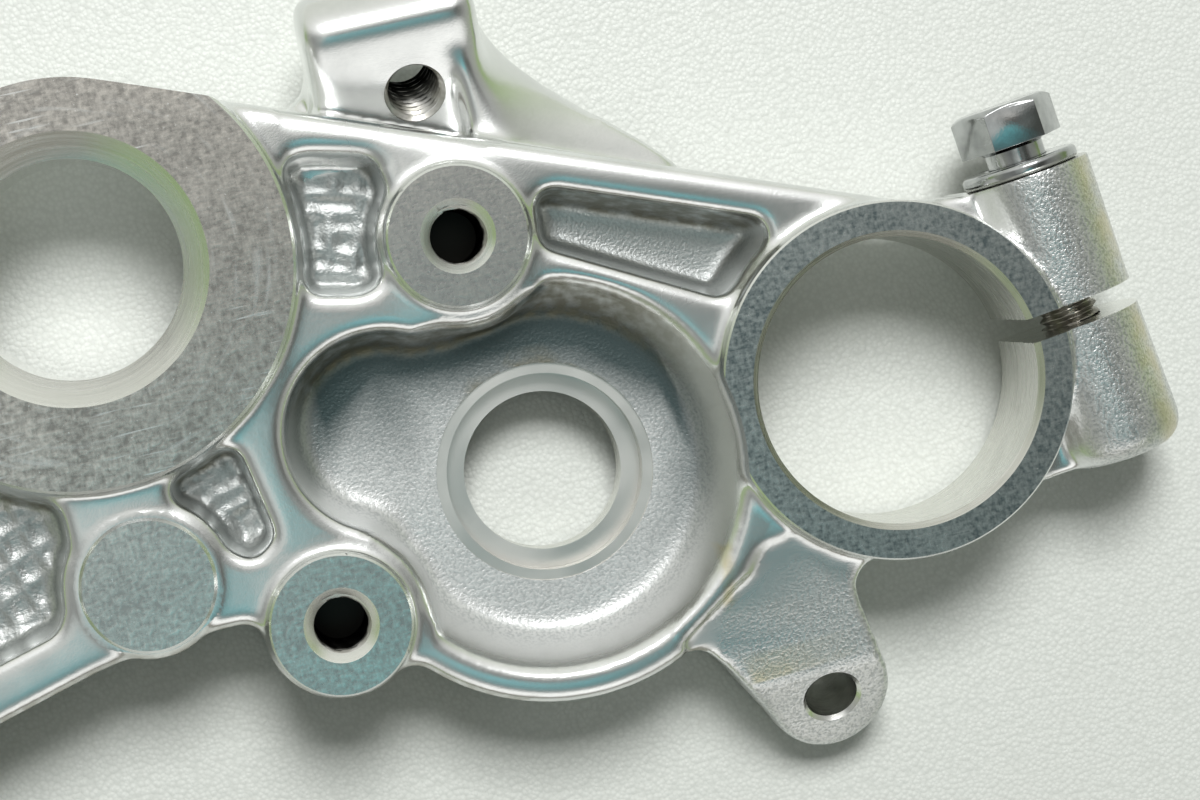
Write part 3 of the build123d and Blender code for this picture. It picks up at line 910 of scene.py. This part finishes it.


# where the skin is coarse, satin, stained or dull, and where shade is painted into its pockets, holes and pan

wearAndShade = {
    "rearRim": (50, 4.5, 56.5, -0.7, 0.385),  # at this y up to this x, then through a point with this fall
    "frontRim": (68, -66, -58),  # the limit on either side of this x
    "sideRim": 90,
    "pan": (48, -40, 26.5, 24.5),  # middle, and where its pale skin ends and is full
    "sunk": {"grain": (11.0, 9.0), "satin": (14.3, 12.0), "recess": (14.5, 10.0), "dirt": (15.2, 13.8),
             "bossHoleShade": (15.2, 12.5), "shade": (11.0, 8.3)},  # heights where each starts and is full
    "grain": (0.05, 0.65),  # everywhere, and on pocket floors
    "satin": 0.15,
    "recessShadeInPan": 0.1,
    "dirt": (0.7, 0.25, 0.7),  # strength, and lean of the pockets' rear walls, where the dirt also paints shade
    "paleElsewhere": 0.15,
    "ear": (-7.0, -3.0, 24, 0.6),  # outward, half length and satin
    "earStain": (0.6, 3.6, 5.4, 7.2, 8.4, 21, 4),  # strength, outward, half length and lowest height
    "hole": 4.3,
    "riserHoleShade": (0.9, 1.0, 6.5),
    "lug": (60, 63, 68, 71, 0.9, 0.7),  # forward, sideways, grain and satin
    "lugEnd": (72, 74),
    "seam": ((72.0, -52.9), (70.8, -60.1), (71.9, -66.2), (72.6, -71.7)),  # stained line down the lug
    "seamStain": (0.7, 1.1, 0.3, 11),
    "rearWall": ((24.0, -26.0), (27.0, -21.5), (32.9, -18.3), (43.5, -19.1), (53.3, -18.9), (60.5, -20.8),
                 (69.2, -27.4), (71.6, -35.7)),  # foot of the pan's rear wall
    "rearShade": (0.95, -10.5, -3.5, -5.0, -2.0, 22, 26, -75, -71),
    "sideShade": (0.65, 14.5, 19.5, 25, 60, 68, -56, -44),
}


def ramp(value, low, high):
    return np.clip((value - low) / (high - low), 0, 1)


def paintWearAndShade(mesh):
    spots, facing = np.empty(len(mesh.vertices) * 3), np.empty(len(mesh.vertices) * 3)
    mesh.vertices.foreach_get("co", spots)
    mesh.vertex_normals.foreach_get("vector", facing)
    spots = spots.reshape(-1, 3) / mm
    signedX, y, z = spots.T
    x = np.abs(signedX)  # most wear is the same on both halves

    def sunk(key):
        start, full = wearAndShade["sunk"][key]
        return ramp(-z, -start, -full)

    straight, rimY, pointX, pointY, fall = wearAndShade["rearRim"]
    turnX, innerY, outerY = wearAndShade["frontRim"]
    inside = y < np.where(x < straight, rimY, pointY - fall * (x - pointX))
    inside &= (y > np.where(x < turnX, innerY, outerY)) & (x < wearAndShade["sideRim"])
    panX, panY, end, full = wearAndShade["pan"]
    inPan = ramp(-np.hypot(signedX - panX, y - panY), -end, -full)
    # painted shade, stronger the deeper a pocket goes, faint in the pan
    recess = sunk("recess") * inside * (1 - (1 - wearAndShade["recessShadeInPan"]) * inPan)
    strength, start, full = wearAndShade["dirt"]
    # dirt with painted shade on pocket walls facing forward, away from the lamp
    dirt = strength * ramp(-facing[1::3], start, full) * sunk("dirt") * inside
    least, most = wearAndShade["grain"]
    grain = np.maximum(least, most * sunk("grain") * inside)
    satin = np.maximum(wearAndShade["satin"], sunk("satin") * inside)

    stain, depth = np.zeros(len(spots)), np.zeros(len(spots))
    for side in sides:
        local = inFrame(earFrame(side), spots)
        outward, along = local[:, 0], local[:, 2]
        start, full, half, soft = wearAndShade["ear"]
        onEar = ramp(outward, start, full) * (np.abs(along) < half)
        grain, satin = np.maximum(grain, onEar), np.maximum(satin, soft * onEar)
        strength, start, full, fading, end, half, lowest = wearAndShade["earStain"]
        band = ramp(outward, start, full) * (1 - ramp(outward, fading, end))
        stain = np.maximum(stain, strength * band * (np.abs(along) < half) * (z > lowest))
        # painted shade, deeper in the leaning riser holes
        outX, outY, up = inFrame(leanFrame(side, "riserHole"), spots).T
        lean, start, full = wearAndShade["riserHoleShade"]
        near = np.hypot(outX, outY) < wearAndShade["hole"]
        depth = np.maximum(depth, near * ramp(lean * outY - up, start, full))
    # painted shade, deeper in the boss holes
    for bossX, bossY in layout["bosses"]:
        near = np.hypot(signedX - bossX, y - bossY) < wearAndShade["hole"]
        depth = np.maximum(depth, near * sunk("bossHoleShade"))

    near, far, inner, outer, rough, soft = wearAndShade["lug"]
    onLug = ramp(-y, near, far) * ramp(x, inner, outer)
    grain = np.maximum(grain, rough * onLug)
    satin = np.maximum(satin, onLug * np.maximum(soft, ramp(-y, *wearAndShade["lugEnd"])))
    seamX, seamY = np.array(wearAndShade["seam"]).T
    strength, start, full, lowest = wearAndShade["seamStain"]
    seam = ramp(-np.abs(x - np.interp(-y, -seamY, seamX)), -start, -full) * (y < seamY[0]) * (y >= seamY[-1])
    stain = np.maximum(stain, strength * seam * (z > lowest))

    # painted shade on the pan floor along its rear wall and its right side
    wall = y - np.interp(signedX, *np.array(wearAndShade["rearWall"]).T)
    strength, start, full, end, fading, left, leftFull, right, rightFull = wearAndShade["rearShade"]
    shade = strength * ramp(wall, start, full) * ramp(-wall, end, fading)
    shade *= ramp(signedX, left, leftFull) * ramp(-signedX, right, rightFull)
    strength, start, full, end, left, leftFull, front, frontFull = wearAndShade["sideShade"]
    reach = np.hypot(signedX - layout["keyhole"][0], y - layout["keyhole"][1])
    beside = ramp(reach, start, full) * (reach < end)
    beside *= ramp(signedX, left, leftFull) * ramp(y, front, frontFull)
    shade = np.maximum(shade, strength * beside) * sunk("shade")

    layers = {"grain": grain, "stain": stain, "dirt": dirt, "depth": depth, "recess": recess, "shade": shade,
              "satin": satin, "pale": satin * np.maximum(inPan, wearAndShade["paleElsewhere"])}
    for name, values in layers.items():
        layer = mesh.attributes.new(name, "FLOAT", "POINT")
        layer.data.foreach_set("value", values.astype(np.float32))


pickFinishes(body.data)
paintWearAndShade(body.data)
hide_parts("clamp_body")
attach(body, "root")
print("casting dressed")


# pinch bolts and washers

fastener = {
    "underHead": 23.2,
    "tip": -11.8,
    "shank": 3.95,
    "root": 3.36,
    "crest": 3.98,
    "threadTop": 9.0,
    "acrossFlats": 12.0,
    "headHeight": 5.5,
    "headTop": 5.7,
    "headTurn": 67.0,
    "washer": (4.3, 7.8, 19.0, 20.8),
    "washerRound": 0.7,
    "edge": 0.14,
    "boltAngle": 28,  # sharper edges stay crisp
    "washerAngle": 35,
}


def hexHead(side):
    low = fastener["underHead"]
    high = low + fastener["headHeight"]
    corner = fastener["acrossFlats"] / 2 / cos(pi / 6)
    bm = bmesh.new()
    turn = [radians(-side * fastener["headTurn"] + 60 * k) for k in range(6)]
    under, over = (
        [bm.verts.new(Vector((corner * cos(t), corner * sin(t), height)) * mm) for t in turn]
        for height in (low, high)
    )
    bm.faces.new(reversed(under))
    bm.faces.new(over)
    for k in range(6):
        n = (k + 1) % 6
        bm.faces.new((under[k], under[n], over[n], over[k]))
    head = linkMesh("hexagon", bm)
    cone = fastener["headTop"]
    wide = corner + 0.4
    fall = (wide - cone) * tan(pi / 6)
    profile = (0, low - 1), (wide, low - 1), (wide, high - fall), (cone, high), (0, high)
    turned = shapeFrom("head bevel", addLathe, profile, Matrix(), 96)
    combine(head, [turned], "INTERSECT")
    soft = head.modifiers.new("broken edges", "BEVEL")
    soft.width = fastener["edge"] * mm
    soft.segments = 2
    soft.limit_method = "ANGLE"
    soft.angle_limit = radians(25)
    return bakeModifiers(head)


def pinchBolt(side, name):
    low, tip, top = fastener["underHead"], fastener["tip"], fastener["threadTop"]
    radius, root = fastener["shank"], fastener["root"]
    bolt = hexHead(side)
    profile = ((0, top - 1), (root - 0.05, top - 1), (radius, top + 0.2), (radius, low - 0.5),
               (radius + 0.5, low), (0, low + 1))
    shank = shapeFrom("shank", addLathe, profile, Matrix(), 48)
    rod = threadedRod("thread", root, fastener["crest"], tip, top, Matrix(), 1.0)
    combine(bolt, [shank, rod], "UNION")
    bolt.name = name
    bolt.data.name = name
    paint(bolt.data, (boltFinish, oiledFinish))
    for face in bolt.data.polygons:
        face.material_index = int(face.center.z < top * mm)
    bolt.data.transform(earFrame(side))
    smooth(bolt.data, fastener["boltAngle"])
    return bolt


def pinchWasher(side, name):
    inner, outer, low, high = fastener["washer"]
    r = fastener["washerRound"]
    arc = [pi / 2 * k / 6 for k in range(7)]
    loop = [(inner, low + 0.2), (inner + 0.2, low)]
    loop += [(outer - r + r * sin(t), low + r - r * cos(t)) for t in arc]
    loop += [(outer - r + r * cos(t), high - r + r * sin(t)) for t in arc]
    loop += [(inner + 0.3, high), (inner, high - 0.3)]
    washer = shapeFrom(name, addLathe, loop, earFrame(side), 72, True)
    paint(washer.data, (boltFinish,))
    smooth(washer.data, fastener["washerAngle"])
    return washer


for side, word in ((1, "Right"), (-1, "Left")):
    for piece, node in ((pinchBolt(side, "pinchBolt" + word), "pinch_bolt_" + word.lower()),
                        (pinchWasher(side, "pinchWasher" + word), "pinch_washer_" + word.lower())):
        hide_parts(node)
        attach(piece, "root")
print("bolts and washers fitted")


# pale floor under the riser seats and the front lugs

floor = {
    "restY": 10.35,
    "restZ": -6.9,
    "slope": -0.0729,
    "half": 1500.0,
    "colour": (0.84, 0.87, 0.82),
    "roughness": 0.38,
    "grit": (1650.0, (0.77, 0.80, 0.75), (0.86, 0.89, 0.84)),  # how fine, hollows and grains
    "cloud": (30, (0.78, 0.80, 0.75)),
    "bump": (0.13, 0.7),
}


def layFloor():
    bm = bmesh.new()
    corners = []
    for x, y in ((-1, -1), (1, -1), (1, 1), (-1, 1)):
        x, y = x * floor["half"], y * floor["half"]
        z = floor["restZ"] + floor["slope"] * (y - floor["restY"])
        corners.append(bm.verts.new(Vector((x, y, z)) * mm))
    bm.faces.new(corners)
    board = linkMesh("floor", bm)
    finish, tree, shader, spot = newFinish("paleBoard", floor["colour"], floor["roughness"], 0.0)
    size, hollow, grain = floor["grit"]
    grit = made(tree, "ShaderNodeTexVoronoi", {"Vector": spot, "Scale": size, "Randomness": 1.0})
    colour = blendColour(tree, spread(tree, grit, 0.75, 0.15), hollow, grain)
    size, tone = floor["cloud"]
    colour = blendColour(tree, spread(tree, speckle(tree, spot, size, 3.0), 0.45, 0.8, 0, 0.3), colour, tone)
    bump = bumped(tree, times(tree, grit, -1.0), *floor["bump"])
    wire(tree, shader, **{"Base Color": colour, "Normal": bump})
    paint(board.data, (finish,))


layFloor()
print("floor laid")


# soft light: dim overhead, a broad bright window behind, paler sides and a pale band low in front

light = {
    "overhead": (0.15, 0.145, 0.135),
    "rear": (  # angle from straight up in degrees, then colour
        (3, (0.36, 0.35, 0.33)), (7, (0.80, 0.79, 0.75)), (18, (0.72, 0.73, 0.71)),
        (28, (0.92, 0.93, 0.91)), (60, (0.96, 0.96, 0.93)), (80, (0.82, 0.84, 0.78)),
        (90, (0.76, 0.78, 0.70)),
    ),
    "left": (
        (3, (0.44, 0.45, 0.43)), (7, (0.76, 0.79, 0.77)), (20, (0.46, 0.49, 0.47)),
        (32, (0.26, 0.27, 0.26)), (50, (0.36, 0.37, 0.35)), (70, (0.38, 0.40, 0.34)),
        (83, (0.32, 0.43, 0.20)), (90, (0.30, 0.41, 0.15)),
    ),
    "right": (
        (5, (0.17, 0.165, 0.155)), (12, (0.21, 0.23, 0.22)), (20, (0.10, 0.11, 0.10)),
        (30, (0.11, 0.11, 0.10)), (44, (0.34, 0.35, 0.33)), (70, (0.38, 0.40, 0.34)),
        (83, (0.32, 0.43, 0.20)), (90, (0.30, 0.41, 0.15)),
    ),
    "front": (
        (3, (0.26, 0.38, 0.38)), (7, (0.22, 0.60, 0.63)), (15, (0.18, 0.46, 0.49)),
        (25, (0.14, 0.27, 0.28)), (36, (0.26, 0.27, 0.26)), (43, (1.2, 1.2, 1.17)),
        (64, (1.2, 1.2, 1.17)), (72, (0.32, 0.31, 0.28)), (90, (0.25, 0.25, 0.21)),
    ),
    "meet": {"sides": (-0.05, 0.05), "front": (0.24, 0.5), "rear": (1.2, 1.55)},  # where the bands blend
    "mirrored": 1.0,  # strength seen in the metal
    "spread": 0.3,  # strength that falls on the floor
    "lampPlace": (150, 700, 1000),
    "lampSize": 0.5,
    "lamps": (("softLamp", 6.0, True), ("floorLamp", 8.0, False)),  # power, and whether the metal mirrors it
    "backdrop": (0.86, 0.88, 0.86, 1),
}


def skyBand(tree, angle, bands):
    bands = ((0, light["overhead"]), *bands)
    ramp = addNode(tree, "ShaderNodeValToRGB", {"Fac": angle})
    stops = ramp.color_ramp.elements
    while len(stops) < len(bands):
        stops.new(0.5)
    for stop, (degrees, colour) in zip(stops, bands):
        stop.position = degrees / 90
    for stop, (degrees, colour) in zip(stops, bands):
        stop.color = (*colour, 1)
    return ramp.outputs[0]


def lightStudio():
    world = bpy.data.worlds.new("studio")
    scene.world = world
    world.use_nodes = True
    tree = world.node_tree
    direction = addNode(tree, "ShaderNodeTexCoord").outputs["Generated"]
    x, y, z = split(tree, direction)
    angle = calc(tree, "DIVIDE", calc(tree, "ARCCOSINE", z), pi / 2)
    turn = calc(tree, "DIVIDE", calc(tree, "ARCTAN2", y, x), pi / 2)
    around = calc(tree, "PINGPONG", calc(tree, "ADD", turn, 1.0), 2.0)  # 0 in front, 2 behind
    left, right, front, rear = (skyBand(tree, angle, light[key]) for key in ("left", "right", "front", "rear"))
    sky = blendColour(tree, spread(tree, x, *light["meet"]["sides"]), left, right)
    sky = blendColour(tree, spread(tree, around, *light["meet"]["front"]), front, sky)
    sky = blendColour(tree, spread(tree, around, *light["meet"]["rear"]), sky, rear)
    glow = tree.nodes["Background"]
    tree.links.new(sky, glow.inputs["Color"])
    path = addNode(tree, "ShaderNodeLightPath").outputs
    spare = light["mirrored"] - light["spread"]
    strength = calc(tree, "MULTIPLY_ADD", path["Is Glossy Ray"], spare, light["spread"])
    tree.links.new(strength, glow.inputs["Strength"])
    pale = addNode(tree, "ShaderNodeBackground", {"Color": light["backdrop"]})
    both = addNode(tree, "ShaderNodeMixShader",
                   {0: path["Is Camera Ray"], 1: glow.outputs[0], 2: pale.outputs[0]})
    tree.links.new(both.outputs[0], tree.nodes["World Output"].inputs["Surface"])

    place = Vector(light["lampPlace"]) * mm
    for name, power, mirrored in light["lamps"]:
        lamp = bpy.data.lights.new(name, "AREA")
        lamp.size = light["lampSize"]
        lamp.energy = power
        holder = bpy.data.objects.new(name, lamp)
        scene.collection.objects.link(holder)
        holder.matrix_world = Matrix.Translation(place) @ place.to_track_quat("Z", "Y").to_matrix().to_4x4()
        holder.visible_glossy = mirrored


lightStudio()
print("lights set")


# camera at the photograph's place

view = {
    "place": (20.33, -8.584, 325.615),
    "right": (0.963941, -0.22609, 0.140356),
    "up": (0.233683, 0.97149, -0.039988),
    "lens": 74.22,
}


def placeCamera():
    lens = bpy.data.cameras.new("camera")
    lens.lens = view["lens"]
    lens.sensor_width = 36
    lens.sensor_fit = "HORIZONTAL"
    lens.clip_start = 0.01
    shot = bpy.data.objects.new("camera", lens)
    scene.collection.objects.link(shot)
    right, up = Vector(view["right"]), Vector(view["up"])
    shot.matrix_world = framed(Vector(view["place"]) * mm, right, up, right.cross(up))
    scene.camera = shot


placeCamera()
scene.view_settings.view_transform = "Standard"
print("camera placed")
